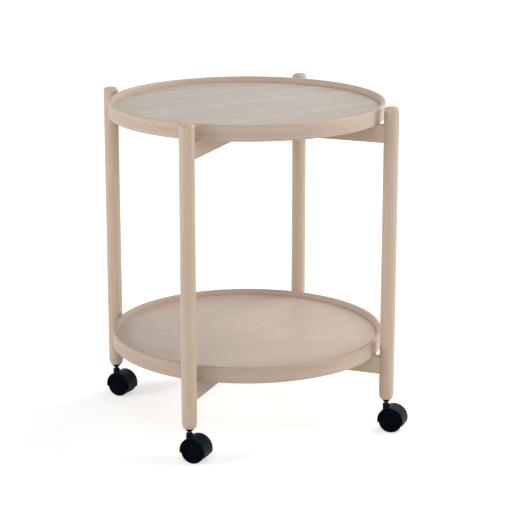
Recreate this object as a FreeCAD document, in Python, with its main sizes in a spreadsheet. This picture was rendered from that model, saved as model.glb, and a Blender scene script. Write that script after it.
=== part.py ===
import FreeCAD, Part
import math
import os
from types import SimpleNamespace

import Sketcher

# Room service table: two round wooden trays on crossed rails, four turned legs and four
# hooded twin-wheel castors. Millimetres. +Z is up, the floor is Z = 0, the origin is the
# point of the floor under the centre of the trays, and -Y is the front. The legs stand on
# the diagonals, at the four corners of a square.

SIZES = {
    # the whole table
    "overall_height": 600.0,         # floor to the tops of the legs
    "lower_rail_above_foot": 46.9,   # lower end of the legs up to the lower rails
    "tray_below_leg_top": 5.0,       # how far the upper rim stays under the tops of the legs
    "tray_leg_gap": 9.5,             # air between a rim and the legs around it
    # legs
    "leg_diameter": 27.0,
    "leg_end_diameter": 22.2,        # flat at the lower end, under the rounding
    "leg_rounding_height": 12.6,     # how far up the leg the rounding of its foot reaches
    "leg_crown_radius": 40.0,        # low dome on top
    "leg_shoulder_radius": 6.0,      # round between the dome and the side
    # trays
    "tray_diameter": 500.0,
    "rim_height": 28.0,
    "rim_thickness": 9.0,
    "rim_top_radius": 3.0,
    "rim_bottom_chamfer": 1.2,
    "panel_thickness": 8.0,
    "panel_recess": 10.0,            # top of the rim down to the panel
    "panel_tongue_thickness": 4.0,
    "panel_tongue_length": 4.0,      # how deep the rim's groove is
    "panel_edge_gap": 0.2,           # air round the panel and its tongue
    # rails
    "rail_depth": 32.0,
    "rail_thickness": 18.0,
    "rail_edge_radius": 1.5,
    "tenon_length": 13.0,
    "tenon_height": 20.0,
    "tenon_thickness": 9.0,
    "joint_gap": 0.1,                # glue line round a tenon, in a lap and at a shoulder
    "mortise_end_gap": 0.5,
    # castor: socket, stem and snap ring
    "stem_diameter": 8.0,
    "stem_running_gap": 0.05,        # air all round the stem in its socket and in the neck
    "stem_in_socket": 30.0,          # how far the stem reaches above the end of the leg
    "stem_end_gap": 3.0,             # air above the stem, in the socket
    "stem_in_neck": 6.0,
    "spigot_diameter": 5.0,          # thinner end of the stem, pressed into the web
    "spigot_length": 8.0,
    "stem_chamfer": 0.8,
    "socket_wall": 1.45,
    "socket_end_wall": 3.0,
    "socket_leg_gap": 0.1,
    "collar_leg_step": 2.35,         # the collar's edge, in from the edge of the leg's end
    "collar_bottom_wall": 1.95,
    "collar_height": 5.4,
    "collar_lip": 1.0,               # upright edge of the collar, above its taper
    "ring_below_stem_end": 4.0,
    "ring_height": 1.6,
    "ring_projection": 0.7,          # how far the ring stands out of the stem
    "ring_groove_depth": 0.9,
    "ring_gap": 0.15,                # air between the ring and the two grooves it lies in
    "ring_opening_angle": 60.0,
    # castor: hood
    "castor_trail": 12.6,            # stem axis to axle
    "heading_front_left": 312.0,     # direction in which each axle trails its stem
    "heading_front_right": 316.0,
    "heading_back_right": 313.0,
    "heading_back_left": 308.0,
    "neck_wall": 2.2,
    "neck_above_hood": 3.0,
    "neck_below_collar": 5.1,        # bare stem between the socket's collar and the neck
    "hood_wall": 1.6,
    "hood_wheel_gap": 1.0,
    "hood_side_step": 0.3,           # the hood's side, in from the wheels' outer faces
    "hood_chamfer": 0.6,             # on the fender's sides and round the neck's top
    "hood_front_angle": 13.0,        # how far the hood reaches below the axle, stem side
    "hood_rear_angle": 18.0,         # and on the trailing side
    "web_thickness": 7.0,
    "boss_wall": 3.45,
    "boss_wheel_gap": 0.3,
    # castor: wheels and axle
    "wheel_diameter": 44.0,
    "wheel_width": 12.7,
    "wheel_edge_radius": 1.5,        # outer edge of the tread
    "wheel_web_gap": 0.8,
    "wheel_tread_thickness": 3.5,
    "wheel_disc_thickness": 2.0,
    "wheel_dish_depth": 0.8,
    "wheel_dish_border": 3.5,
    "hub_wall": 2.45,
    "hub_end_wall": 2.7,             # closed end of the hub's bore, at the outer disc
    "wheel_rib_thickness": 1.5,
    "wheel_rib_setback": 2.0,
    "axle_diameter": 5.0,
    "axle_running_gap": 0.05,
    "axle_end_gap": 0.5,
    "axle_chamfer": 0.5,
}

WHEEL_RIBS = 5
CORNERS = {"front_left": 225.0, "front_right": 315.0, "back_right": 45.0, "back_left": 135.0}
OVER_RAIL_ANGLE = 45.0
UNDER_RAIL_ANGLE = 135.0
FULL_TURN = 360.0
HALF_TURN = 180.0
QUARTER_TURN = 90.0


class Size:
    """A size that knows its value and the spreadsheet formula that gives it."""

    def __init__(self, value, formula):
        self.value = value
        self.formula = formula

    def __add__(self, other):
        other = as_size(other)
        return Size(self.value + other.value, f"({self.formula} + {other.formula})")

    def __sub__(self, other):
        other = as_size(other)
        return Size(self.value - other.value, f"({self.formula} - {other.formula})")

    def __mul__(self, other):
        other = as_size(other)
        return Size(self.value * other.value, f"({self.formula} * {other.formula})")

    def __truediv__(self, other):
        other = as_size(other)
        return Size(self.value / other.value, f"({self.formula} / {other.formula})")

    def __neg__(self):
        return Size(-self.value, f"(0 - {self.formula})")


def as_size(term):
    return term if isinstance(term, Size) else Size(float(term), str(float(term)))


def root(square):
    return Size(math.sqrt(square.value), f"sqrt({square.formula})")


def cosine(angle):
    angle = as_size(angle)
    return Size(math.cos(math.radians(angle.value)), f"cos({angle.formula})")


def sine(angle):
    angle = as_size(angle)
    return Size(math.sin(math.radians(angle.value)), f"sin({angle.formula})")


def fill_sheet(document):
    """Write every driving size to a named cell and return the sizes by name."""
    sheet = document.addObject("Spreadsheet::Sheet", "Sizes")
    sizes = SimpleNamespace()
    for row, (name, value) in enumerate(SIZES.items(), start=1):
        sheet.set(f"A{row}", name)
        sheet.set(f"B{row}", str(value))
        sheet.setAlias(f"B{row}", name)
        setattr(sizes, name, Size(value, f"Sizes.{name}"))
    document.recompute()
    return sizes


doc = FreeCAD.newDocument("room_service_table")
s = fill_sheet(doc)

# Heights and radii that several pieces share.
ZERO = as_size(0.0)
LEG_RADIUS = s.leg_diameter / 2
TRAY_RADIUS = s.tray_diameter / 2
LEG_CIRCLE_RADIUS = TRAY_RADIUS + s.tray_leg_gap + LEG_RADIUS
PANEL_BOTTOM_IN_RIM = s.rim_height - s.panel_recess - s.panel_thickness
RIM_INNER_RADIUS = TRAY_RADIUS - s.rim_thickness
GROOVE_RADIUS = RIM_INNER_RADIUS + s.panel_tongue_length
TONGUE_BOTTOM_IN_PANEL = (s.panel_thickness - s.panel_tongue_thickness) / 2
TENON_BOTTOM_IN_RAIL = (s.rail_depth - s.tenon_height) / 2
WHEEL_RADIUS = s.wheel_diameter / 2
WHEEL_INNER_FACE = s.web_thickness / 2 + s.wheel_web_gap
DISH_FLOOR = s.wheel_width - s.wheel_dish_depth
HUB_BORE_DEPTH = DISH_FLOOR - s.hub_end_wall
AXLE_RADIUS = s.axle_diameter / 2
AXLE_BORE_RADIUS = AXLE_RADIUS + s.axle_running_gap
HOOD_INNER_RADIUS = WHEEL_RADIUS + s.hood_wheel_gap
HOOD_OUTER_RADIUS = HOOD_INNER_RADIUS + s.hood_wall
HOOD_HALF_WIDTH = WHEEL_INNER_FACE + s.wheel_width - s.hood_side_step
NECK_TOP = WHEEL_RADIUS + HOOD_OUTER_RADIUS + s.neck_above_hood
LEG_FOOT = NECK_TOP + s.neck_below_collar + s.collar_height
LEG_LENGTH = s.overall_height - LEG_FOOT
UPPER_RIM_BOTTOM = s.overall_height - s.tray_below_leg_top - s.rim_height
LOWER_RIM_BOTTOM = LEG_FOOT + s.lower_rail_above_foot + s.rail_depth
STEM_RADIUS = s.stem_diameter / 2
STEM_BORE_RADIUS = STEM_RADIUS + s.stem_running_gap
SPIGOT_RADIUS = s.spigot_diameter / 2
STEM_TOP = LEG_FOOT + s.stem_in_socket
SOCKET_RADIUS = STEM_BORE_RADIUS + s.socket_wall
SOCKET_BORE_END = s.stem_in_socket + s.stem_end_gap
SOCKET_DEPTH = SOCKET_BORE_END + s.socket_end_wall
RING_TOP = STEM_TOP - s.ring_below_stem_end
RING_GROOVE_RADIUS = STEM_RADIUS - s.ring_groove_depth
RING_OUTER_RADIUS = STEM_RADIUS + s.ring_projection


# ---------------------------------------------------------------- drawing and features

def new_body(name):
    body = doc.addObject("PartDesign::Body", name)
    body.Label = name
    return body


def bind(thing, setting, size):
    """Tie one setting of an object to the spreadsheet."""
    thing.setExpression(setting, size.formula)


def place(thing, x, y, z, turn=0.0):
    """Put a sub-part at x, y, z, turned about the upright."""
    upright = FreeCAD.Vector(0, 0, 1)
    at = FreeCAD.Vector(x.value, y.value, z.value)
    thing.Placement = FreeCAD.Placement(at, FreeCAD.Rotation(upright, turn))
    bind(thing, "Placement.Base.x", x)
    bind(thing, "Placement.Base.y", y)
    bind(thing, "Placement.Base.z", z)


def sketch_on(body, name, role, offset=ZERO):
    """Start a sketch on one of the body's own origin planes, or parallel to it."""
    sketch = body.newObject("Sketcher::SketchObject", f"{body.Name}_{name}")
    plane = next(feature for feature in body.Origin.OriginFeatures if feature.Role == role)
    sketch.AttachmentSupport = (plane, "")
    sketch.MapMode = "FlatFace"
    bind(sketch, "AttachmentOffset.Base.z", offset)
    return sketch


def dimension(sketch, kind, element, size):
    """Add one bound dimension; element says what it measures."""
    index = sketch.addConstraint(Sketcher.Constraint(kind, *element, size.value))
    bind(sketch, f"Constraints[{index}]", size)


def pin_point(sketch, edge, end, x, y):
    """Dimension a point from the sketch's origin."""
    dimension(sketch, "DistanceX", (-1, 1, edge, end), x)
    dimension(sketch, "DistanceY", (-1, 1, edge, end), y)


def arc_between(start, finish, radius):
    """The short arc from start to finish; a positive radius turns to the left."""
    chord = finish - start
    left = FreeCAD.Vector(-chord.y, chord.x, 0).normalize() * math.copysign(1.0, radius)
    reach = math.sqrt(max(radius * radius - chord.Length * chord.Length / 4, 0.0))
    centre = (start + finish) / 2 + left * reach
    first, last = (start, finish) if radius > 0 else (finish, start)
    first_angle = math.atan2(first.y - centre.y, first.x - centre.x)
    last_angle = math.atan2(last.y - centre.y, last.x - centre.x)
    circle = Part.Circle(centre, FreeCAD.Vector(0, 0, 1), abs(radius))
    return Part.ArcOfCircle(circle, first_angle, last_angle)


def outline(sketch, corners):
    """Draw one closed outline, counter-clockwise. A corner is x, y and, where an arc runs
    on from it, the arc's radius: positive where the arc turns left, negative right."""
    corners = [tuple(as_size(term) for term in corner) for corner in corners]
    points = [FreeCAD.Vector(corner[0].value, corner[1].value, 0) for corner in corners]
    ends = []
    for number, corner in enumerate(corners):
        start = points[number]
        finish = points[(number + 1) % len(points)]
        if len(corner) == 2:
            edge = sketch.addGeometry(Part.LineSegment(start, finish))
            ends.append((edge, 1, 2))
        else:
            edge = sketch.addGeometry(arc_between(start, finish, corner[2].value))
            ends.append((edge, 1, 2) if corner[2].value > 0 else (edge, 2, 1))
    for number, (edge, start_end, finish_end) in enumerate(ends):
        next_edge, next_start, _ = ends[(number + 1) % len(ends)]
        sketch.addConstraint(
            Sketcher.Constraint("Coincident", edge, finish_end, next_edge, next_start))
        pin_point(sketch, edge, start_end, corners[number][0], corners[number][1])
        if len(corners[number]) == 3:
            radius = corners[number][2]
            dimension(sketch, "Radius", (edge,), radius if radius.value > 0 else -radius)


def circle(sketch, x, y, radius):
    centre = FreeCAD.Vector(x.value, y.value, 0)
    edge = sketch.addGeometry(Part.Circle(centre, FreeCAD.Vector(0, 0, 1), radius.value))
    dimension(sketch, "Radius", (edge,), radius)
    pin_point(sketch, edge, 3, x, y)


def rectangle(sketch, left, right, low, high):
    outline(sketch, [(left, low), (right, low), (right, high), (left, high)])


def revolve(body, sketch):
    """Turn a half section about the sketch's vertical axis."""
    turned = body.newObject("PartDesign::Revolution", f"{sketch.Name}_turned")
    turned.Profile = sketch
    turned.ReferenceAxis = (sketch, ["V_Axis"])
    turned.Angle = FULL_TURN
    return turned


def pad(body, sketch, length, side="Symmetric"):
    padded = body.newObject("PartDesign::Pad", f"{sketch.Name}_pad")
    padded.Profile = sketch
    padded.SideType = side
    bind(padded, "Length", length)
    return padded


def pocket(body, sketch, length=None, side="One side", backwards=False):
    """Cut into the body, to a depth or right through."""
    cut = body.newObject("PartDesign::Pocket", f"{sketch.Name}_pocket")
    cut.Profile = sketch
    cut.SideType = side
    cut.Reversed = backwards
    if length is None:
        cut.Type = "ThroughAll"
    else:
        bind(cut, "Length", length)
    return cut


# ---------------------------------------------------------------- wood

def make_leg(corner):
    """A turned leg. Its own frame stands on its lower end, with +X away from the table."""
    leg = new_body(f"leg_{corner}")
    end_radius = s.leg_end_diameter / 2
    inset = LEG_RADIUS - end_radius
    rounding_radius = (s.leg_rounding_height * s.leg_rounding_height + inset * inset) / (inset * 2)
    crown_to_shoulder = s.leg_crown_radius - s.leg_shoulder_radius
    shoulder_x = LEG_RADIUS - s.leg_shoulder_radius
    shoulder_rise = root(crown_to_shoulder * crown_to_shoulder - shoulder_x * shoulder_x)
    crown_centre = LEG_LENGTH - s.leg_crown_radius
    crown_share = s.leg_crown_radius / crown_to_shoulder
    section = sketch_on(leg, "section", "XZ_Plane")
    outline(section, [
        (ZERO, ZERO),
        (end_radius, ZERO, rounding_radius),
        (LEG_RADIUS, s.leg_rounding_height),
        (LEG_RADIUS, crown_centre + shoulder_rise, s.leg_shoulder_radius),
        (shoulder_x * crown_share, crown_centre + shoulder_rise * crown_share, s.leg_crown_radius),
        (ZERO, LEG_LENGTH),
    ])
    revolve(leg, section)
    bore = sketch_on(leg, "socket_bore", "XY_Plane")
    circle(bore, ZERO, ZERO, SOCKET_RADIUS + s.socket_leg_gap)
    pocket(leg, bore, SOCKET_DEPTH + s.mortise_end_gap, backwards=True)
    mortise_half_width = s.tenon_thickness / 2 + s.joint_gap
    mortise_floor = s.tenon_length + s.mortise_end_gap - LEG_RADIUS
    for tier, rim_bottom in (("upper", UPPER_RIM_BOTTOM), ("lower", LOWER_RIM_BOTTOM)):
        tenon_bottom = rim_bottom - s.rail_depth + TENON_BOTTOM_IN_RAIL - LEG_FOOT
        mortise = sketch_on(leg, f"{tier}_mortise", "YZ_Plane", mortise_floor)
        rectangle(mortise, -mortise_half_width, mortise_half_width,
                  tenon_bottom - s.joint_gap, tenon_bottom + s.tenon_height + s.joint_gap)
        pocket(leg, mortise)
    angle = CORNERS[corner]
    place(leg, LEG_CIRCLE_RADIUS * cosine(angle), LEG_CIRCLE_RADIUS * sine(angle),
          LEG_FOOT, angle)
    return leg


def make_rail(tier, position, rim_bottom):
    """One straight rail, from leg to leg through the centre. The over rail is halved from
    below and the under rail from above. Its own frame lies on its lower edge, X along it."""
    rail = new_body(f"{tier}_rail_{position}")
    half_thickness = s.rail_thickness / 2
    arris = s.rail_edge_radius
    section = sketch_on(rail, "section", "YZ_Plane")
    outline(section, [
        (arris - half_thickness, ZERO),
        (half_thickness - arris, ZERO, arris),
        (half_thickness, arris),
        (half_thickness, s.rail_depth - arris, arris),
        (half_thickness - arris, s.rail_depth),
        (arris - half_thickness, s.rail_depth, arris),
        (-half_thickness, s.rail_depth - arris),
        (-half_thickness, arris, arris),
    ])
    pad(rail, section, LEG_CIRCLE_RADIUS * 2)
    shoulders = sketch_on(rail, "shoulders", "XY_Plane")
    shoulder_radius = LEG_RADIUS + s.joint_gap
    circle(shoulders, LEG_CIRCLE_RADIUS, ZERO, shoulder_radius)
    circle(shoulders, -LEG_CIRCLE_RADIUS, ZERO, shoulder_radius)
    pocket(rail, shoulders, side="Symmetric")
    tenons = sketch_on(rail, "tenons", "XZ_Plane")
    leg_face = LEG_CIRCLE_RADIUS - LEG_RADIUS
    tenon_root = leg_face - s.tenon_length
    tenon_end = leg_face + s.tenon_length
    tenon_top = TENON_BOTTOM_IN_RAIL + s.tenon_height
    rectangle(tenons, tenon_root, tenon_end, TENON_BOTTOM_IN_RAIL, tenon_top)
    rectangle(tenons, -tenon_end, -tenon_root, TENON_BOTTOM_IN_RAIL, tenon_top)
    pad(rail, tenons, s.tenon_thickness)
    lap = sketch_on(rail, "half_lap", "XZ_Plane")
    lap_half_width = half_thickness + s.joint_gap
    middle = s.rail_depth / 2
    if position == "over":
        rectangle(lap, -lap_half_width, lap_half_width, -middle, middle)
    else:
        rectangle(lap, -lap_half_width, lap_half_width, middle, s.rail_depth + middle)
    pocket(rail, lap, side="Symmetric")
    angle = OVER_RAIL_ANGLE if position == "over" else UNDER_RAIL_ANGLE
    place(rail, ZERO, ZERO, rim_bottom - s.rail_depth, angle)
    return rail


def make_rim(tier, rim_bottom):
    """A bent ring, rounded above and eased below, with a groove for the panel's tongue."""
    rim = new_body(f"{tier}_tray_rim")
    groove_bottom = PANEL_BOTTOM_IN_RIM + TONGUE_BOTTOM_IN_PANEL
    groove_top = groove_bottom + s.panel_tongue_thickness
    upper_round = s.rim_top_radius
    chamfer = s.rim_bottom_chamfer
    section = sketch_on(rim, "section", "XZ_Plane")
    outline(section, [
        (RIM_INNER_RADIUS + chamfer, ZERO),
        (TRAY_RADIUS - chamfer, ZERO),
        (TRAY_RADIUS, chamfer),
        (TRAY_RADIUS, s.rim_height - upper_round, upper_round),
        (TRAY_RADIUS - upper_round, s.rim_height),
        (RIM_INNER_RADIUS + upper_round, s.rim_height, upper_round),
        (RIM_INNER_RADIUS, s.rim_height - upper_round),
        (RIM_INNER_RADIUS, groove_top),
        (GROOVE_RADIUS, groove_top),
        (GROOVE_RADIUS, groove_bottom),
        (RIM_INNER_RADIUS, groove_bottom),
        (RIM_INNER_RADIUS, chamfer),
    ])
    revolve(rim, section)
    place(rim, ZERO, ZERO, rim_bottom)
    return rim


def make_panel(tier, rim_bottom):
    """The round board that the rim is bent around, with a tongue all round its edge."""
    panel = new_body(f"{tier}_tray_panel")
    edge_radius = RIM_INNER_RADIUS - s.panel_edge_gap
    tongue_radius = GROOVE_RADIUS - s.panel_edge_gap
    tongue_top = TONGUE_BOTTOM_IN_PANEL + s.panel_tongue_thickness
    section = sketch_on(panel, "section", "XZ_Plane")
    outline(section, [
        (ZERO, ZERO),
        (edge_radius, ZERO),
        (edge_radius, TONGUE_BOTTOM_IN_PANEL),
        (tongue_radius, TONGUE_BOTTOM_IN_PANEL),
        (tongue_radius, tongue_top),
        (edge_radius, tongue_top),
        (edge_radius, s.panel_thickness),
        (ZERO, s.panel_thickness),
    ])
    revolve(panel, section)
    place(panel, ZERO, ZERO, rim_bottom + PANEL_BOTTOM_IN_RIM)
    return panel


# ---------------------------------------------------------------- castors

def place_in_castor(thing, corner, along=ZERO, across=ZERO, height=ZERO, turn=0.0):
    """Place a castor piece from its stem's foot: along the trail, across it and up."""
    angle = CORNERS[corner]
    heading = getattr(s, f"heading_{corner}")
    x = LEG_CIRCLE_RADIUS * cosine(angle) + along * cosine(heading) - across * sine(heading)
    y = LEG_CIRCLE_RADIUS * sine(angle) + along * sine(heading) + across * cosine(heading)
    place(thing, x, y, height, heading.value + turn)


def make_socket(corner):
    """The sleeve pressed into the leg, with its tapered collar under the wood."""
    socket = new_body(f"castor_{corner}_socket")
    collar_radius = s.leg_end_diameter / 2 - s.collar_leg_step
    ring_top = RING_TOP + s.ring_gap - LEG_FOOT
    ring_bottom = ring_top - s.ring_height - s.ring_gap * 2
    ring_seat_radius = RING_OUTER_RADIUS + s.ring_gap
    section = sketch_on(socket, "section", "XZ_Plane")
    outline(section, [
        (STEM_BORE_RADIUS, -s.collar_height),
        (STEM_BORE_RADIUS + s.collar_bottom_wall, -s.collar_height),
        (collar_radius, -s.collar_lip),
        (collar_radius, ZERO),
        (SOCKET_RADIUS, ZERO),
        (SOCKET_RADIUS, SOCKET_DEPTH),
        (ZERO, SOCKET_DEPTH),
        (ZERO, SOCKET_BORE_END),
        (STEM_BORE_RADIUS, SOCKET_BORE_END),
        (STEM_BORE_RADIUS, ring_top),
        (ring_seat_radius, ring_top),
        (ring_seat_radius, ring_bottom),
        (STEM_BORE_RADIUS, ring_bottom),
    ])
    revolve(socket, section)
    place_in_castor(socket, corner, height=LEG_FOOT)
    return socket


def make_stem(corner):
    """The steel pin that the castor swivels on, grooved near its upper end and stepped
    down to a thinner spigot at its lower end."""
    stem = new_body(f"castor_{corner}_stem")
    shoulder = NECK_TOP - s.stem_in_neck
    foot = shoulder - s.spigot_length
    chamfered = STEM_RADIUS - s.stem_chamfer
    groove_top = RING_TOP + s.ring_gap
    groove_bottom = RING_TOP - s.ring_height - s.ring_gap
    section = sketch_on(stem, "section", "XZ_Plane")
    outline(section, [
        (ZERO, foot),
        (SPIGOT_RADIUS - s.stem_chamfer, foot),
        (SPIGOT_RADIUS, foot + s.stem_chamfer),
        (SPIGOT_RADIUS, shoulder),
        (STEM_RADIUS, shoulder),
        (STEM_RADIUS, groove_bottom),
        (RING_GROOVE_RADIUS, groove_bottom),
        (RING_GROOVE_RADIUS, groove_top),
        (STEM_RADIUS, groove_top),
        (STEM_RADIUS, STEM_TOP - s.stem_chamfer),
        (chamfered, STEM_TOP),
        (ZERO, STEM_TOP),
    ])
    revolve(stem, section)
    place_in_castor(stem, corner)
    return stem


def ring_point(radius, angle):
    return radius * cosine(angle), radius * sine(angle)


def make_snap_ring(corner):
    """The open spring ring that keeps the stem in its socket."""
    ring = new_body(f"castor_{corner}_snap_ring")
    inner_radius = RING_GROOVE_RADIUS + s.ring_gap
    start = s.ring_opening_angle / 2
    finish = -start
    plan = sketch_on(ring, "plan", "XY_Plane")
    outline(plan, [
        (*ring_point(RING_OUTER_RADIUS, start), RING_OUTER_RADIUS),
        (*ring_point(RING_OUTER_RADIUS, HALF_TURN), RING_OUTER_RADIUS),
        ring_point(RING_OUTER_RADIUS, finish),
        (*ring_point(inner_radius, finish), -inner_radius),
        (*ring_point(inner_radius, HALF_TURN), -inner_radius),
        ring_point(inner_radius, start),
    ])
    pad(ring, plan, s.ring_height, side="One side")
    place_in_castor(ring, corner, height=RING_TOP - s.ring_height)
    return ring


def hood_point(radius, angle):
    """A point round the axle, in the upright plane along the trail."""
    return s.castor_trail + radius * cosine(angle), WHEEL_RADIUS + radius * sine(angle)


def make_hood(corner):
    """The moulded body of a castor: a middle web with the axle's boss, a fender over both
    wheels and a neck for the stem. Its own frame stands on the floor under the stem."""
    hood = new_body(f"castor_{corner}_hood")
    front = s.hood_front_angle + HALF_TURN
    rear = -s.hood_rear_angle
    boss_radius = AXLE_BORE_RADIUS + s.boss_wall
    boss_half_width = WHEEL_INNER_FACE - s.boss_wheel_gap
    web = sketch_on(hood, "web", "XZ_Plane")
    outline(web, [
        (*hood_point(HOOD_OUTER_RADIUS, rear), HOOD_OUTER_RADIUS),
        (*hood_point(HOOD_OUTER_RADIUS, QUARTER_TURN), HOOD_OUTER_RADIUS),
        hood_point(HOOD_OUTER_RADIUS, front),
        (*hood_point(boss_radius, HALF_TURN + QUARTER_TURN / 2), boss_radius),
        hood_point(boss_radius, -QUARTER_TURN / 2),
    ])
    pad(hood, web, s.web_thickness)
    neck_radius = STEM_BORE_RADIUS + s.neck_wall
    neck_front = s.castor_trail + neck_radius
    neck_base = WHEEL_RADIUS + root(
        HOOD_INNER_RADIUS * HOOD_INNER_RADIUS - neck_front * neck_front)
    neck = sketch_on(hood, "neck", "XY_Plane", neck_base)
    circle(neck, ZERO, ZERO, neck_radius)
    pad(hood, neck, NECK_TOP - neck_base, side="One side")
    # The plane's normal points to -Y, so the offset is the other way round.
    for side, offset, backwards in (("left", -s.web_thickness / 2, False),
                                    ("right", s.web_thickness / 2, True)):
        space = sketch_on(hood, f"{side}_wheel_space", "XZ_Plane", offset)
        circle(space, *hood_point(ZERO, ZERO), HOOD_INNER_RADIUS)
        pocket(hood, space, backwards=backwards)
    fender = sketch_on(hood, "fender", "XZ_Plane")
    outline(fender, [
        (*hood_point(HOOD_OUTER_RADIUS, rear), HOOD_OUTER_RADIUS),
        (*hood_point(HOOD_OUTER_RADIUS, QUARTER_TURN), HOOD_OUTER_RADIUS),
        hood_point(HOOD_OUTER_RADIUS, front),
        (*hood_point(HOOD_INNER_RADIUS, front), -HOOD_INNER_RADIUS),
        (*hood_point(HOOD_INNER_RADIUS, QUARTER_TURN), -HOOD_INNER_RADIUS),
        hood_point(HOOD_INNER_RADIUS, rear),
    ])
    pad(hood, fender, HOOD_HALF_WIDTH * 2)
    boss = sketch_on(hood, "boss", "XZ_Plane")
    circle(boss, *hood_point(ZERO, ZERO), boss_radius)
    pad(hood, boss, boss_half_width * 2)
    axle_bore = sketch_on(hood, "axle_bore", "XZ_Plane")
    circle(axle_bore, *hood_point(ZERO, ZERO), AXLE_BORE_RADIUS)
    pocket(hood, axle_bore, side="Symmetric")
    stem_bore = sketch_on(hood, "stem_bore", "XY_Plane", NECK_TOP)
    circle(stem_bore, ZERO, ZERO, STEM_BORE_RADIUS)
    pocket(hood, stem_bore, s.stem_in_neck)
    spigot_bore = sketch_on(hood, "spigot_bore", "XY_Plane", NECK_TOP - s.stem_in_neck)
    circle(spigot_bore, ZERO, ZERO, SPIGOT_RADIUS + s.stem_running_gap)
    last_cut = pocket(hood, spigot_bore, s.spigot_length)
    doc.recompute()
    chamfer = hood.newObject("PartDesign::Chamfer", f"{hood.Name}_chamfer")
    chamfer.Base = (last_cut, hood_outer_edges(last_cut.Shape, neck_radius))
    bind(chamfer, "Size", s.hood_chamfer)
    place_in_castor(hood, corner)
    return hood


def hood_outer_edges(shape, neck_radius):
    """The outer round edges on the two sides of the fender, and the neck's top edge."""
    names = []
    for number, edge in enumerate(shape.Edges, start=1):
        if not isinstance(edge.Curve, Part.Circle):
            continue
        middle = edge.CenterOfMass
        radius = edge.Curve.Radius
        on_side = abs(abs(middle.y) - HOOD_HALF_WIDTH.value) < 1e-6
        on_top = abs(middle.z - NECK_TOP.value) < 1e-6
        fender_edge = on_side and abs(radius - HOOD_OUTER_RADIUS.value) < 1e-6
        neck_edge = on_top and abs(radius - neck_radius.value) < 1e-6
        if fender_edge or neck_edge:
            names.append(f"Edge{number}")
    return names


def make_axle(corner):
    """The steel pin through the boss, with a wheel on each end."""
    axle = new_body(f"castor_{corner}_axle")
    half_length = WHEEL_INNER_FACE + HUB_BORE_DEPTH - s.axle_end_gap
    chamfered = AXLE_RADIUS - s.axle_chamfer
    section = sketch_on(axle, "section", "XY_Plane")
    outline(section, [
        (ZERO, -half_length),
        (chamfered, -half_length),
        (AXLE_RADIUS, s.axle_chamfer - half_length),
        (AXLE_RADIUS, half_length - s.axle_chamfer),
        (chamfered, half_length),
        (ZERO, half_length),
    ])
    revolve(axle, section)
    place_in_castor(axle, corner, along=s.castor_trail, height=WHEEL_RADIUS)
    return axle


def make_wheel(corner, side):
    """A moulded wheel, open towards the web: a tread, a hub and ribs behind a closed,
    shallowly dished disc. Its own Y runs along the axle, outwards from the web."""
    wheel = new_body(f"castor_{corner}_{side}_wheel")
    hub_radius = AXLE_BORE_RADIUS + s.hub_wall
    tread_inner_radius = WHEEL_RADIUS - s.wheel_tread_thickness
    dish_radius = WHEEL_RADIUS - s.wheel_dish_border
    edge_round = s.wheel_edge_radius
    disc_inner_face = DISH_FLOOR - s.wheel_disc_thickness
    section = sketch_on(wheel, "section", "XY_Plane")
    outline(section, [
        (AXLE_BORE_RADIUS, ZERO),
        (hub_radius, ZERO),
        (hub_radius, disc_inner_face),
        (tread_inner_radius, disc_inner_face),
        (tread_inner_radius, ZERO),
        (WHEEL_RADIUS, ZERO),
        (WHEEL_RADIUS, s.wheel_width - edge_round, edge_round),
        (WHEEL_RADIUS - edge_round, s.wheel_width),
        (dish_radius, s.wheel_width),
        (dish_radius, DISH_FLOOR),
        (ZERO, DISH_FLOOR),
        (ZERO, HUB_BORE_DEPTH),
        (AXLE_BORE_RADIUS, HUB_BORE_DEPTH),
    ])
    revolve(wheel, section)
    bite = s.wheel_disc_thickness / 2
    rib = sketch_on(wheel, "rib", "XY_Plane")
    rectangle(rib, hub_radius - bite, tread_inner_radius + bite,
              s.wheel_rib_setback, disc_inner_face + bite)
    first_rib = pad(wheel, rib, s.wheel_rib_thickness)
    ribs = wheel.newObject("PartDesign::PolarPattern", f"{wheel.Name}_ribs")
    ribs.Originals = [first_rib]
    ribs.Axis = (rib, ["V_Axis"])
    ribs.Angle = FULL_TURN
    ribs.Occurrences = WHEEL_RIBS
    wheel.Tip = ribs
    outwards = WHEEL_INNER_FACE if side == "left" else -WHEEL_INNER_FACE
    place_in_castor(wheel, corner, along=s.castor_trail, across=outwards,
                    height=WHEEL_RADIUS, turn=0.0 if side == "left" else HALF_TURN)
    return wheel


def make_castor(corner):
    pieces = [make_socket(corner), make_stem(corner), make_snap_ring(corner)]
    pieces += [make_hood(corner), make_axle(corner)]
    pieces += [make_wheel(corner, side) for side in ("left", "right")]
    return pieces


# ---------------------------------------------------------------- the table

def check(parts):
    """Stop if a feature failed, a cut removed nothing or a sub-part isn't a sound solid."""
    for thing in doc.Objects:
        if "Invalid" in thing.State or "Error" in thing.State:
            raise RuntimeError(f"{thing.Name} failed: {thing.State}")
        if thing.TypeId == "PartDesign::Pocket":
            if thing.Shape.Volume >= thing.BaseFeature.Shape.Volume:
                raise RuntimeError(f"{thing.Name} cuts nothing")
    for part in parts:
        if part.Shape.isNull() or not part.Shape.isValid() or len(part.Shape.Solids) != 1:
            raise RuntimeError(f"{part.Label} is not one sound solid")


def main():
    parts = [make_leg(corner) for corner in CORNERS]
    for tier, rim_bottom in (("upper", UPPER_RIM_BOTTOM), ("lower", LOWER_RIM_BOTTOM)):
        parts += [make_rail(tier, position, rim_bottom) for position in ("over", "under")]
        parts += [make_rim(tier, rim_bottom), make_panel(tier, rim_bottom)]
    for corner in CORNERS:
        parts += make_castor(corner)
    doc.recompute()
    check(parts)
    os.makedirs("parts", exist_ok=True)
    for part in parts:
        part.Shape.exportStep(f"parts/{part.Label}.step")
    print(f"{len(parts)} sub-parts written")


main()
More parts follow.
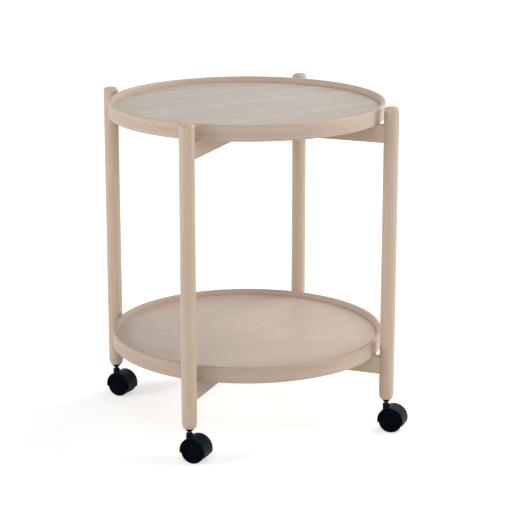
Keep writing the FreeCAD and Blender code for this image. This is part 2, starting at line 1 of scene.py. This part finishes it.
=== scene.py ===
# %% [markdown]
# # A round serving table on castors
#
# The table is two shallow round trays that lie loose on crossed rails, four turned legs
# that stand round them, and a small black castor under each leg. Its solid pieces come from
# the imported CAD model, so they are in place already, down to the chamfers of the castors.
# This lesson gives each piece its finish, then lights and films the table as a catalogue
# picture would.

# %% Load the solid pieces
import math

import bmesh
import bpy
from mathutils import Euler, Matrix, Vector


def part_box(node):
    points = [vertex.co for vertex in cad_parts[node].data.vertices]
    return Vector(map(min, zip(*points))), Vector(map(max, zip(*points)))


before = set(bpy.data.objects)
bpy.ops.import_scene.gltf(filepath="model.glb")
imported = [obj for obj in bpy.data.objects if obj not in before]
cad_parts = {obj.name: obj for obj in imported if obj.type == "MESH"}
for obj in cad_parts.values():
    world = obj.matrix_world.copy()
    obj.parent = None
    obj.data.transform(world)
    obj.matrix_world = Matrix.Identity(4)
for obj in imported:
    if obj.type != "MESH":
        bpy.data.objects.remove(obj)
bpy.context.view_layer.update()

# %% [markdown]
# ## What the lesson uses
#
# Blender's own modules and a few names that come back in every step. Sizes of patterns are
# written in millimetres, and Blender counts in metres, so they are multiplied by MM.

MM = 0.001
WHITE = (1.0, 1.0, 1.0, 1.0)
CORNERS = ("front_left", "front_right", "back_right", "back_left")
TIERS = ("upper", "lower")
scene = bpy.context.scene

# %% [markdown]
# ## The camera
#
# The picture was taken from a little above the upper tray with a long lens, so uprights stay
# upright and the round trays become flat ovals. The camera's place was worked out from the
# ovals of the trays, the ends of the legs and their known sizes. A long lens from far away
# keeps the far leg almost as tall as the near one, which a wide lens close by would not.

# %% Set up the camera
PICTURE_WIDTH_PIXELS = 510
FOCAL_LENGTH_PIXELS = 1825.5
SENSOR_WIDTH_MM = 36.0
CAMERA_PLACE = Vector((-1.2812, -2.9914, 1.1816))
CAMERA_HEADING = math.radians(66.566)
CAMERA_DIP = math.radians(15.103)

ahead = Vector((
    math.cos(CAMERA_DIP) * math.cos(CAMERA_HEADING),
    math.cos(CAMERA_DIP) * math.sin(CAMERA_HEADING),
    -math.sin(CAMERA_DIP),
))
camera_data = bpy.data.cameras.new("camera")
camera_data.sensor_width = SENSOR_WIDTH_MM
camera_data.lens = FOCAL_LENGTH_PIXELS / PICTURE_WIDTH_PIXELS * SENSOR_WIDTH_MM
camera_data.clip_end = 100.0
camera = bpy.data.objects.new("camera", camera_data)
camera.location = CAMERA_PLACE
camera.rotation_euler = ahead.to_track_quat("-Z", "Y").to_euler()
scene.collection.objects.link(camera)
scene.camera = camera
print(f"lens {camera_data.lens:.1f} mm, {CAMERA_PLACE.length:.2f} m from the floor's centre")

# %% [markdown]
# ## Helpers for materials
#
# A finish is a small network of nodes. One function adds a node, sets its settings and links
# its inputs, so that each finish below reads from top to bottom like a recipe. Colours are
# written as the hex values that a painter's chart or a web page gives, and one function turns
# them into the linear light that the renderer works in.

# %% One node and one colour
def linear(hex_colour):
    """The hex colour's linear light, by the curve that sRGB defines."""
    channels = [int(hex_colour[start:start + 2], 16) / 255 for start in (1, 3, 5)]
    light = [c / 12.92 if c <= 0.04045 else ((c + 0.055) / 1.055) ** 2.4 for c in channels]
    return (*light, 1.0)


def add_node(tree, kind, inputs, **settings):
    """Add a shader node. An input is given a number, a colour or another node's output."""
    node = tree.nodes.new("ShaderNode" + kind)
    for name, setting in settings.items():
        setattr(node, name, setting)
    for place, value in inputs.items():
        if isinstance(value, bpy.types.NodeSocket):
            tree.links.new(value, node.inputs[place])
        else:
            node.inputs[place].default_value = value
    return node


def new_finish(name):
    """An empty material, its node tree and its surface input."""
    finish = bpy.data.materials.new(name)
    finish.use_nodes = True
    tree = finish.node_tree
    tree.nodes.clear()
    output = tree.nodes.new("ShaderNodeOutputMaterial")
    return finish, tree, output.inputs["Surface"]


print("beech in linear light:", [round(c, 3) for c in linear("#cbb7a4")])

# %% [markdown]
# ## White-oiled beech
#
# The legs, rails and rims are beech that was planed or turned, sanded and rubbed with white
# oil, which leaves it pale, matt and slightly pink-grey. Close up, beech shows soft growth
# rings a few millimetres apart, fine fibres, and its mark: short brown flecks like pencil
# strokes along the grain. An image of wood would repeat and would wrap badly round a leg, so
# the wood is solid here: rings round an unseen heart line cut through each piece, and
# fibres and flecks are noise drawn out along the grain. On a bent rim the grain follows the
# ring, so there the pattern runs round the tray and changes only with height and radius.
#
# A wave texture makes 20 waves in a full turn of its angle, which gives its scale for rings
# of a known width. Most of a noise lies between 0.3 and 0.7, so that is the span that each
# part of the pattern uses.

# %% The wood recipe
RING_WIDTH_MM = 3.2
HEART_DISTANCE_MM = 70.0
FIBRE_WIDTH_MM = 0.7
FIBRE_LENGTH_MM = 40.0
FLECK_MM = (4.0, 0.55)
FLECK_START = 0.66
FLECK_EDGE = 0.08
FLECK_BROWN = "#8d6f58"
FIBRE_SHARE = 0.28
LATE_WOOD_SHARPNESS = 3.0
GRAIN_RELIEF_MM = 0.12
NOISE_LOW = 0.3
NOISE_HIGH = 0.7
STREAK_WIDTH_MM = 26.0
STREAK_LENGTH_MM = 420.0
WAVER_MM = 7.0
WAVE_RING_TURNS = 20.0 / (2 * math.pi)


def drawn_out(tree, grain, bent, length_mm, width_mm, detail):
    """Noise whose spots are length_mm along the grain and width_mm across it."""
    along = 1 / (length_mm * MM)
    across = 1 / (width_mm * MM)
    squeeze = (along, along, across) if bent else (along, across, across)
    spots = add_node(tree, "VectorMath", {0: grain, 1: squeeze}, operation="MULTIPLY")
    noise = add_node(tree, "TexNoise", {
        "Vector": spots.outputs[0], "Scale": 1.0, "Detail": detail, "Roughness": 0.55})
    return noise.outputs["Fac"]


def grain_space(tree, turn, shift_mm, bent):
    """Coordinates with X along the grain; on a bent rim X and Y run slowly round it."""
    place = add_node(tree, "TexCoord", {}).outputs["Object"]
    if bent:
        parts = add_node(tree, "SeparateXYZ", {0: place})
        flat = add_node(tree, "CombineXYZ", {0: parts.outputs[0], 1: parts.outputs[1]})
        radius = add_node(tree, "VectorMath", {0: flat.outputs[0]}, operation="LENGTH")
        layer = add_node(tree, "Math", {0: parts.outputs[2], 1: radius.outputs["Value"]},
                         operation="ADD")
        place = add_node(tree, "CombineXYZ", {
            0: parts.outputs[0], 1: parts.outputs[1], 2: layer.outputs[0]}).outputs[0]
    mapped = add_node(tree, "Mapping", {
        "Vector": place, "Rotation": turn, "Location": [v * MM for v in shift_mm]})
    return mapped.outputs[0]


def white_oiled_beech(name, light, dark, turn=(0, 0, 0), shift_mm=(0, 0, 0), bent=False,
                      ring_mm=RING_WIDTH_MM, ring_share=0.22, streak_share=0.5,
                      streak_mm=STREAK_WIDTH_MM, fleck_mm=FLECK_MM, fleck_start=FLECK_START,
                      fleck_share=0.4, roughness=0.5):
    """Beech, sanded and oiled. light and dark are the two tones that the grain runs
    between; turn lays the heart line, and shift moves the piece within its tree."""
    finish, tree, surface = new_finish(name)
    grain = grain_space(tree, turn, shift_mm, bent)
    drift = drawn_out(tree, grain, bent, STREAK_LENGTH_MM, 2 * STREAK_WIDTH_MM, 2.0)
    centred = add_node(tree, "Math", {0: drift, 1: 0.5}, operation="SUBTRACT")
    waver = add_node(tree, "CombineXYZ", {1: centred.outputs[0], 2: centred.outputs[0]})
    sway = add_node(tree, "VectorMath", {0: waver.outputs[0], "Scale": 2 * WAVER_MM * MM},
                    operation="SCALE")
    swayed = add_node(tree, "VectorMath", {0: grain, 1: sway.outputs[0]}, operation="ADD")
    rings = add_node(
        tree, "TexWave", {
            "Vector": swayed.outputs[0], "Scale": 1 / (WAVE_RING_TURNS * ring_mm * MM),
            "Distortion": 1.2, "Detail": 2.0, "Detail Scale": 0.4},
        wave_type="BANDS" if bent else "RINGS",
        bands_direction="Z", rings_direction="X", wave_profile="SAW")
    streaks = drawn_out(tree, grain, bent, STREAK_LENGTH_MM, streak_mm, 3.0)
    fibres = drawn_out(tree, grain, bent, FIBRE_LENGTH_MM, FIBRE_WIDTH_MM, 3.0)
    flecks = drawn_out(tree, grain, bent, *fleck_mm, 0.0)
    late_wood = add_node(tree, "Math", {
        0: rings.outputs["Fac"], 1: LATE_WOOD_SHARPNESS}, operation="POWER")
    streak_part = add_node(tree, "MapRange", {
        "Value": streaks, "From Min": NOISE_LOW, "From Max": NOISE_HIGH,
        "To Max": streak_share})
    ring_part = add_node(tree, "MapRange", {
        "Value": late_wood.outputs[0], "To Max": ring_share})
    fibre_part = add_node(tree, "MapRange", {
        "Value": fibres, "From Min": NOISE_LOW, "From Max": NOISE_HIGH,
        "To Max": FIBRE_SHARE})
    first = add_node(tree, "Math", {0: streak_part.outputs[0], 1: ring_part.outputs[0]},
                     operation="ADD")
    tone = add_node(tree, "Math", {0: first.outputs[0], 1: fibre_part.outputs[0]},
                    operation="ADD", use_clamp=True)
    body_colour = add_node(tree, "Mix", {
        0: tone.outputs[0], 6: linear(light), 7: linear(dark)}, data_type="RGBA")
    fleck_mask = add_node(tree, "MapRange", {
        "Value": flecks, "From Min": fleck_start, "From Max": fleck_start + FLECK_EDGE,
        "To Max": fleck_share})
    colour = add_node(tree, "Mix", {
        0: fleck_mask.outputs[0], 6: body_colour.outputs[2], 7: linear(FLECK_BROWN)},
        data_type="RGBA")
    sheen_spread = add_node(tree, "MapRange", {
        "Value": fibres, "From Min": NOISE_LOW, "From Max": NOISE_HIGH,
        "To Min": roughness - 0.06, "To Max": roughness + 0.08})
    relief = add_node(tree, "Math", {0: fibres, 1: fleck_mask.outputs[0]},
                      operation="SUBTRACT")
    bump = add_node(tree, "Bump", {
        "Height": relief.outputs[0], "Strength": 0.35, "Distance": GRAIN_RELIEF_MM * MM})
    shader = add_node(tree, "BsdfPrincipled", {
        "Base Color": colour.outputs[2], "Roughness": sheen_spread.outputs[0],
        "Normal": bump.outputs[0], "IOR": 1.5, "Specular IOR Level": 0.3})
    tree.links.new(shader.outputs[0], surface)
    return finish


def finish_node(node, finish):
    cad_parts[node].data.materials.clear()
    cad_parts[node].data.materials.append(finish)


print("ring width", RING_WIDTH_MM, "mm, flecks", FLECK_MM[0], "mm long")

# %% [markdown]
# ## The legs
#
# Each leg is a beech dowel, turned on a lathe, with its grain upright. The four were sawn
# from different places in a board, so each gets its own shift within the tree. A pattern is
# first tipped upright and then spun about the grain: the other way round it would lean, and
# the streaks would cross the leg.

# %% Finish the legs
LEG_TONES = ("#d1beaa", "#c0a891")
SLIM_STREAK_MM = 8.0
SLIM_FLECK_SHARE = 0.25
LEG_TURN_STEP = 40
for number, corner in enumerate(CORNERS):
    upright = Euler((0, math.radians(90 + 0.4 * number - 0.6), 0)).to_matrix()
    spin = Matrix.Rotation(math.radians(LEG_TURN_STEP * number), 3, "X")
    finish_node(f"leg_{corner}", white_oiled_beech(
        f"beech_leg_{corner}", *LEG_TONES, turn=(spin @ upright).to_euler(),
        shift_mm=(130 * number, HEART_DISTANCE_MM, 23 * number),
        streak_mm=SLIM_STREAK_MM, fleck_share=SLIM_FLECK_SHARE))
print("legs finished:", len(CORNERS))

# %% [markdown]
# ## The rails
#
# The rails are planed beech bars with the grain along their length. They cross under each
# tray at a right angle, so each pattern is turned to lie along its own bar. Of the two bars
# of a pair, the one that runs to the front right leg is written the paler.

# %% Finish the rails
RAIL_TONES = {"over": ("#c8b39d", "#b69f87"), "under": ("#d7c1aa", "#c4ac92")}
RAIL_ANGLES = {"over": 45.0, "under": 135.0}
for tier in TIERS:
    for number, (position, angle) in enumerate(RAIL_ANGLES.items()):
        shift = 311 * number + (170 if tier == "lower" else 0)
        finish_node(f"{tier}_rail_{position}", white_oiled_beech(
            f"beech_{tier}_rail_{position}", *RAIL_TONES[position],
            turn=(0, 0, math.radians(-angle)),
            shift_mm=(shift, 31 + 9 * number, HEART_DISTANCE_MM + 14 * number),
            streak_mm=SLIM_STREAK_MM, fleck_share=SLIM_FLECK_SHARE))
print("rails finished:", len(TIERS) * len(RAIL_ANGLES))

# %% [markdown]
# ## The rims and the floors of the trays
#
# A rim is a thin beech lath, steamed and bent into a ring, so its streaks run round it and
# are narrow. The floors are pale veneer: broad straight stripes on the upper tray, and a
# calmer leaf with plain brown flecks on the lower one. Those flecks are drawn a few times
# coarser than in real beech, as finer ones would not show at this distance. The upper floor
# is greyer than the rest, the lower one warmer.

# %% Finish the rims and the floors
# The lower rim's tones are written a little darker than the upper's: painted shade, for the
# shade under the upper tray.
RIM_TONES = {"upper": ("#cebaaa", "#b9a28e"), "lower": ("#c9b5a5", "#b49d89")}
FLOOR_TONES = {"upper": ("#d2cac0", "#baaa99"), "lower": ("#d3c2b4", "#c3b09f")}
RIM_STREAK_MM = 6.0
LOWER_RISE_MM = 77
FLOOR_RING_MM = 7.0
FLOOR_TURNS = {"upper": 10.0, "lower": 17.0}
FLOOR_STREAKS = {"upper": 0.6, "lower": 0.3}
FLOOR_FLECKS_MM = {"upper": FLECK_MM, "lower": (15.0, 1.9)}
FLOOR_FLECK_STARTS = {"upper": FLECK_START, "lower": 0.73}
FLOOR_TILTS = {"upper": 0.6, "lower": 5.0}
FLOOR_HEARTS = {"upper": 160.0, "lower": 75.0}
for tier in TIERS:
    rise = 0 if tier == "upper" else LOWER_RISE_MM
    finish_node(f"{tier}_tray_rim", white_oiled_beech(
        f"bent_beech_{tier}_rim", *RIM_TONES[tier], bent=True, shift_mm=(0, 0, rise),
        ring_share=0.16, streak_mm=RIM_STREAK_MM, fleck_share=0.2))
    light, dark = FLOOR_TONES[tier]
    lie = Euler((0, math.radians(FLOOR_TILTS[tier]), math.radians(-FLOOR_TURNS[tier])))
    low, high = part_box(f"{tier}_tray_panel")
    finish_node(f"{tier}_tray_panel", white_oiled_beech(
        f"veneer_{tier}_floor", light, dark, turn=lie,
        shift_mm=(90 + rise, 12, FLOOR_HEARTS[tier] - high.z / MM),
        ring_mm=FLOOR_RING_MM, ring_share=0.25, streak_share=FLOOR_STREAKS[tier],
        fleck_mm=FLOOR_FLECKS_MM[tier], fleck_start=FLOOR_FLECK_STARTS[tier],
        roughness=0.42))
    print(tier, "floor at", round(high.z / MM, 1), "mm")

# %% [markdown]
# ## The black castors
#
# Hood, wheels and sockets are injection-moulded nylon and polypropylene. Their skin copies
# the spark-eroded steel of the mould, a fine even grain that spreads the light, so the black
# never shines like glass. A noise bump half a millimetre wide gives that skin: the real one
# is finer, but would not show. The hood's black leans a little to blue. The stem, its snap
# ring and the axle are zinc-plated steel, turned on a lathe, with fine marks that run round
# them. Their colour is written dark as a painted reflection of the black hood and socket
# that stand close round them.

# %% Moulded nylon and turned steel
MOULD_GRAIN_MM = 0.5
MOULD_RELIEF_MM = 0.05
SCUFF_MM = 14
TURNING_MARK_MM = 0.25
TURNING_LENGTH_MM = 6
TURNING_RELIEF_MM = 0.02
# The two steel tones are written dark: a painted reflection of the black hood and socket
# round the stem.
STEEL_TONES_PAINTED_DARK = ("#3d434b", "#2b3036")


def moulded_plastic(name, colour, scuffed, roughness, specular):
    finish, tree, surface = new_finish(name)
    place = add_node(tree, "TexCoord", {}).outputs["Object"]
    grain = add_node(tree, "TexNoise", {
        "Vector": place, "Scale": 1 / (MOULD_GRAIN_MM * MM), "Detail": 2.0})
    cloud = add_node(tree, "TexNoise", {
        "Vector": place, "Scale": 1 / (SCUFF_MM * MM), "Detail": 3.0})
    scuff = add_node(tree, "MapRange", {
        "Value": cloud.outputs["Fac"], "From Min": 0.45, "From Max": 0.75})
    shade = add_node(tree, "Mix", {
        0: scuff.outputs[0], 6: linear(colour), 7: linear(scuffed)}, data_type="RGBA")
    dullness = add_node(tree, "MapRange", {
        "Value": cloud.outputs["Fac"], "From Min": NOISE_LOW, "From Max": NOISE_HIGH,
        "To Min": roughness - 0.05, "To Max": roughness + 0.07})
    bump = add_node(tree, "Bump", {
        "Height": grain.outputs["Fac"], "Strength": 0.25, "Distance": MOULD_RELIEF_MM * MM})
    shader = add_node(tree, "BsdfPrincipled", {
        "Base Color": shade.outputs[2], "Roughness": dullness.outputs[0],
        "Normal": bump.outputs[0], "IOR": 1.53, "Specular IOR Level": specular})
    tree.links.new(shader.outputs[0], surface)
    return finish


def turned_steel(name):
    finish, tree, surface = new_finish(name)
    place = add_node(tree, "TexCoord", {}).outputs["Object"]
    round_it = 1 / (TURNING_LENGTH_MM * MM)
    squeeze = (round_it, round_it, 1 / (TURNING_MARK_MM * MM))
    spots = add_node(tree, "VectorMath", {0: place, 1: squeeze}, operation="MULTIPLY")
    marks = add_node(tree, "TexNoise", {
        "Vector": spots.outputs[0], "Scale": 1.0, "Detail": 2.0})
    shade = add_node(tree, "Mix", {
        0: marks.outputs["Fac"], 6: linear(STEEL_TONES_PAINTED_DARK[0]), 7: linear(STEEL_TONES_PAINTED_DARK[1])},
        data_type="RGBA")
    dullness = add_node(tree, "MapRange", {
        "Value": marks.outputs["Fac"], "To Min": 0.14, "To Max": 0.3})
    bump = add_node(tree, "Bump", {
        "Height": marks.outputs["Fac"], "Strength": 0.2, "Distance": TURNING_RELIEF_MM * MM})
    shader = add_node(tree, "BsdfPrincipled", {
        "Base Color": shade.outputs[2], "Metallic": 1.0,
        "Roughness": dullness.outputs[0], "Normal": bump.outputs[0]})
    tree.links.new(shader.outputs[0], surface)
    return finish


hood_nylon = moulded_plastic("nylon_hood", "#0a141a", "#121f26", 0.42, 0.055)
wheel_nylon = moulded_plastic("nylon_wheel", "#02060e", "#060c15", 0.38, 0.02)
socket_plastic = moulded_plastic("polypropylene_socket", "#0a0806", "#100e0b", 0.5, 0.06)
steel_painted_dark = turned_steel("steel_with_painted_dark_reflection")
for corner in CORNERS:
    finish_node(f"castor_{corner}_hood", hood_nylon)
    finish_node(f"castor_{corner}_socket", socket_plastic)
    for metal in ("stem", "snap_ring", "axle"):
        finish_node(f"castor_{corner}_{metal}", steel_painted_dark)
    for side in ("left", "right"):
        finish_node(f"castor_{corner}_{side}_wheel", wheel_nylon)
print("castors finished:", len(CORNERS))

# %% [markdown]
# ## The studio
#
# A catalogue picture like this one is lit by soft boxes and by white walls all round. Two
# boxes stand low, one on each side, so that uprights get more light than flat faces do: the
# tops of the rims come out a little darker than their sides, and the legs are darkest in
# the middle. Two more hang above, the stronger one at the right, and draw the soft shadow
# of each leg. A lamp that stands low makes a bright streak on a flat tray for someone who
# looks from the other side, so the low pair spreads its light but makes no shine.

# %% Light the table
AIM = Vector((0, 0, 0.35))


def soft_box(name, azimuth, height, distance, size, watts, tint, glare=True):
    """A square area lamp that faces the middle of the table. Without glare, its light
    spreads over a surface but makes no shine on it, as behind a polarising filter."""
    lamp = bpy.data.lights.new(name, "AREA")
    lamp.shape = "SQUARE"
    lamp.size = size
    lamp.energy = watts
    lamp.color = linear(tint)[:3]
    holder = bpy.data.objects.new(name, lamp)
    angle = math.radians(azimuth)
    holder.location = (math.sin(angle) * distance, -math.cos(angle) * distance, height)
    aim = AIM - holder.location
    holder.rotation_euler = aim.to_track_quat("-Z", "Y").to_euler()
    holder.visible_glossy = glare
    scene.collection.objects.link(holder)


soft_box("soft_box_above_right", 100, 2.6, 2.0, 1.4, 40, "#ffffff")
soft_box("soft_box_above_front", -23, 2.6, 2.0, 1.6, 16, "#ffffff")
soft_box("soft_box_right", 60, 0.9, 2.6, 0.9, 28, "#f5f9ff", glare=False)
soft_box("soft_box_left", -90, 0.9, 2.6, 0.9, 25, "#f8fbff", glare=False)
print("soft boxes:", len(bpy.data.lights))

# %% [markdown]
# ## The room
#
# The world is the room. Its walls are white up to a third of the way to the zenith and its
# ceiling is dark. The camera sees it as plain white, and so does anything that reflects it,
# so it can stay dim enough to keep the wood's colours. The Light Path node tells the two
# kinds of ray apart.

# %% Light the room
def seen_as_white(tree):
    """1 for a ray from the camera, straight, through something clear or reflected."""
    rays = add_node(tree, "LightPath", {})
    seen = add_node(tree, "Math", {
        0: rays.outputs["Is Camera Ray"], 1: rays.outputs["Is Transmission Ray"]},
        operation="MAXIMUM")
    shown = add_node(tree, "Math", {0: seen.outputs[0], 1: rays.outputs["Is Glossy Ray"]},
                     operation="MAXIMUM")
    return shown.outputs[0]


ROOM_LIGHT = 0.94
WALL_TOP = 0.4
CEILING_START = 0.6
room = bpy.data.worlds.new("white_room")
scene.world = room
room.use_nodes = True
tree = room.node_tree
tree.nodes.clear()
direction = add_node(tree, "TexCoord", {})
upward = add_node(tree, "SeparateXYZ", {0: direction.outputs["Generated"]})
wall_light = add_node(tree, "MapRange", {
    "Value": upward.outputs[2], "From Min": WALL_TOP, "From Max": CEILING_START,
    "To Min": ROOM_LIGHT, "To Max": 0.0})
strength = add_node(tree, "MapRange", {
    "Value": seen_as_white(tree), "To Min": wall_light.outputs[0], "To Max": 1.0})
walls = add_node(tree, "Background", {"Color": WHITE, "Strength": strength.outputs[0]})
world_output = tree.nodes.new("ShaderNodeOutputWorld")
tree.links.new(walls.outputs[0], world_output.inputs["Surface"])
wall_degrees = math.degrees(math.asin(WALL_TOP))
print(f"room light {ROOM_LIGHT} up to {wall_degrees:.0f} degrees above the horizon")

# %% [markdown]
# ## The floor
#
# The floor is one sheet of white paper that sweeps away behind the table. Paper that is lit
# only as much as the table would photograph as pale grey, so it also glows for the camera:
# strongly far away, where it is the backdrop, and less near the table, where the shadow has
# to stay. The glow lights nothing, as only the camera and reflections see it.

# %% Lay the floor
FLOOR_REACH = 15.0
PAPER = "#f2f1ef"
NEAR_GLOW = 0.52
FAR_GLOW = 0.82
NEAR_DISTANCE = 0.6
FAR_DISTANCE = 2.5
floor_mesh = bpy.data.meshes.new("studio_floor")
shape = bmesh.new()
bmesh.ops.create_grid(shape, x_segments=1, y_segments=1, size=FLOOR_REACH)
shape.to_mesh(floor_mesh)
shape.free()
floor = bpy.data.objects.new("studio_floor", floor_mesh)
scene.collection.objects.link(floor)
paper, tree, surface = new_finish("white_paper")
paper_light = add_node(tree, "BsdfDiffuse", {"Color": linear(PAPER)})
place = add_node(tree, "TexCoord", {}).outputs["Object"]
reach = add_node(tree, "VectorMath", {0: place}, operation="LENGTH")
sweep = add_node(tree, "MapRange", {
    "Value": reach.outputs["Value"], "From Min": NEAR_DISTANCE, "From Max": FAR_DISTANCE,
    "To Min": NEAR_GLOW, "To Max": FAR_GLOW})
glow_strength = add_node(tree, "Math", {0: seen_as_white(tree), 1: sweep.outputs[0]},
                         operation="MULTIPLY")
glow = add_node(tree, "Emission", {"Color": WHITE, "Strength": glow_strength.outputs[0]})
both = add_node(tree, "AddShader", {0: paper_light.outputs[0], 1: glow.outputs[0]})
tree.links.new(both.outputs[0], surface)
floor_mesh.materials.append(paper)
print("floor", 2 * FLOOR_REACH, "m wide")

# %% [markdown]
# ## Finishing
#
# The picture keeps its colours as they are written, so the view is the plain one.

# %% Keep the colours plain
scene.view_settings.view_transform = "Standard"
